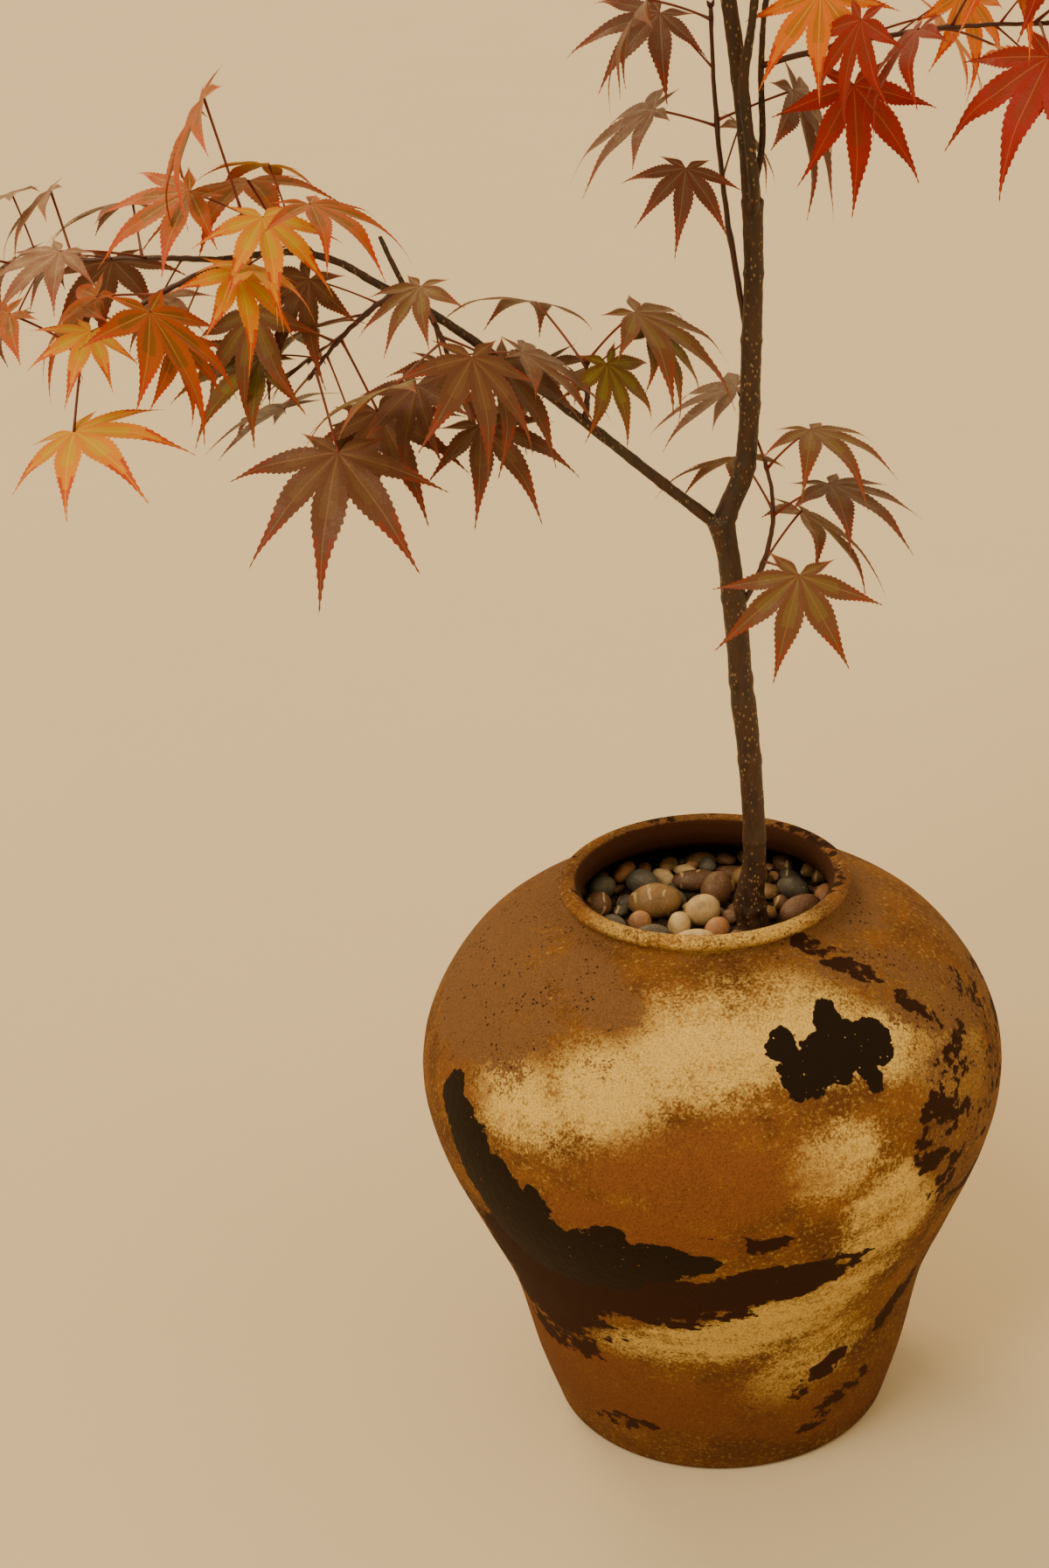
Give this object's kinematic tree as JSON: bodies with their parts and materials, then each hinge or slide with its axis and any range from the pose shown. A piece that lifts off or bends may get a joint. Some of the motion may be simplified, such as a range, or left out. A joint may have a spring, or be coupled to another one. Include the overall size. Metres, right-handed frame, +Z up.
{
  "type": "potted japanese maple",
  "caption": "Young japanese maple with a slender trunk, airy boughs and bronze-red palmate leaves, growing in a round-shouldered mottled stoneware jar topped with pebbles.",
  "frame": {"origin": "centre of the jar's flat underside, where it stands on the floor", "axes": "+Z up along the jar's axis; +X to the right and +Y to the back as the plant is seen from the front"},
  "size_m": [0.6671, 0.5934, 1.1657],
  "materials": {
    "stoneware": "satin-matt fired clay with mottled ochre, straw and dark brown patches",
    "potting_soil": "dark moist crumbs",
    "pebble_tan": "smooth, dull",
    "pebble_brown": "smooth, dull",
    "pebble_slate": "smooth, dull",
    "pebble_peach": "smooth, dull",
    "pebble_cream": "smooth, dull",
    "bark": "young bark with pale specks",
    "leaves_bronze": "bronze-purple leaf with a faint sheen",
    "leaves_amber": "leaf turning orange",
    "leaves_rose": "rosy grey-brown leaf",
    "leaves_crimson": "crimson leaf"
  },
  "bodies": {
    "root": {"jar": "stoneware", "soil": "potting_soil", "pebble_01": "pebble_tan", "pebble_02": "pebble_brown", "pebble_03": "pebble_slate", "pebble_04": "pebble_peach", "pebble_05": "pebble_slate", "pebble_06": "pebble_cream", "pebble_07": "pebble_cream", "pebble_08": "pebble_cream", "pebble_09": "pebble_brown", "pebble_10": "pebble_peach", "pebble_11": "pebble_slate", "pebble_12": "pebble_brown", "pebble_13": "pebble_brown", "pebble_14": "pebble_slate", "pebble_15": "pebble_slate", "pebble_16": "pebble_tan", "pebble_17": "pebble_slate", "pebble_18": "pebble_tan", "pebble_19": "pebble_cream", "pebble_20": "pebble_tan", "pebble_21": "pebble_slate", "pebble_22": "pebble_brown", "pebble_23": "pebble_tan", "pebble_24": "pebble_peach", "trunk": "bark", "leader_lower": "bark", "leader_upper": "bark", "left_bough_inner": "bark", "left_bough_outer": "bark", "dead_stub": "bark", "front_stem": "bark", "right_stem": "bark", "high_bough_1": "bark", "high_bough_2": "bark", "high_bough_3": "bark", "high_bough_4": "bark", "high_bough_5": "bark", "high_bough_6": "bark", "spray_front": "leaves_bronze", "spray_bright": "leaves_amber", "spray_inner": "leaves_bronze", "spray_hanging": "leaves_bronze", "spray_lower_left": "leaves_amber", "spray_left_tip": "leaves_rose", "spray_low_right": "leaves_bronze", "spray_left_shoot": "leaves_rose", "spray_upper_right": "leaves_amber", "spray_front_stem": "leaves_bronze", "spray_right_stem": "leaves_crimson", "spray_top": "leaves_crimson", "spray_high_1": "leaves_bronze", "spray_high_2": "leaves_bronze", "spray_high_3": "leaves_amber", "spray_high_4": "leaves_bronze", "spray_high_5": "leaves_bronze", "spray_high_6": "leaves_bronze"}
  },
  "joints": []
}
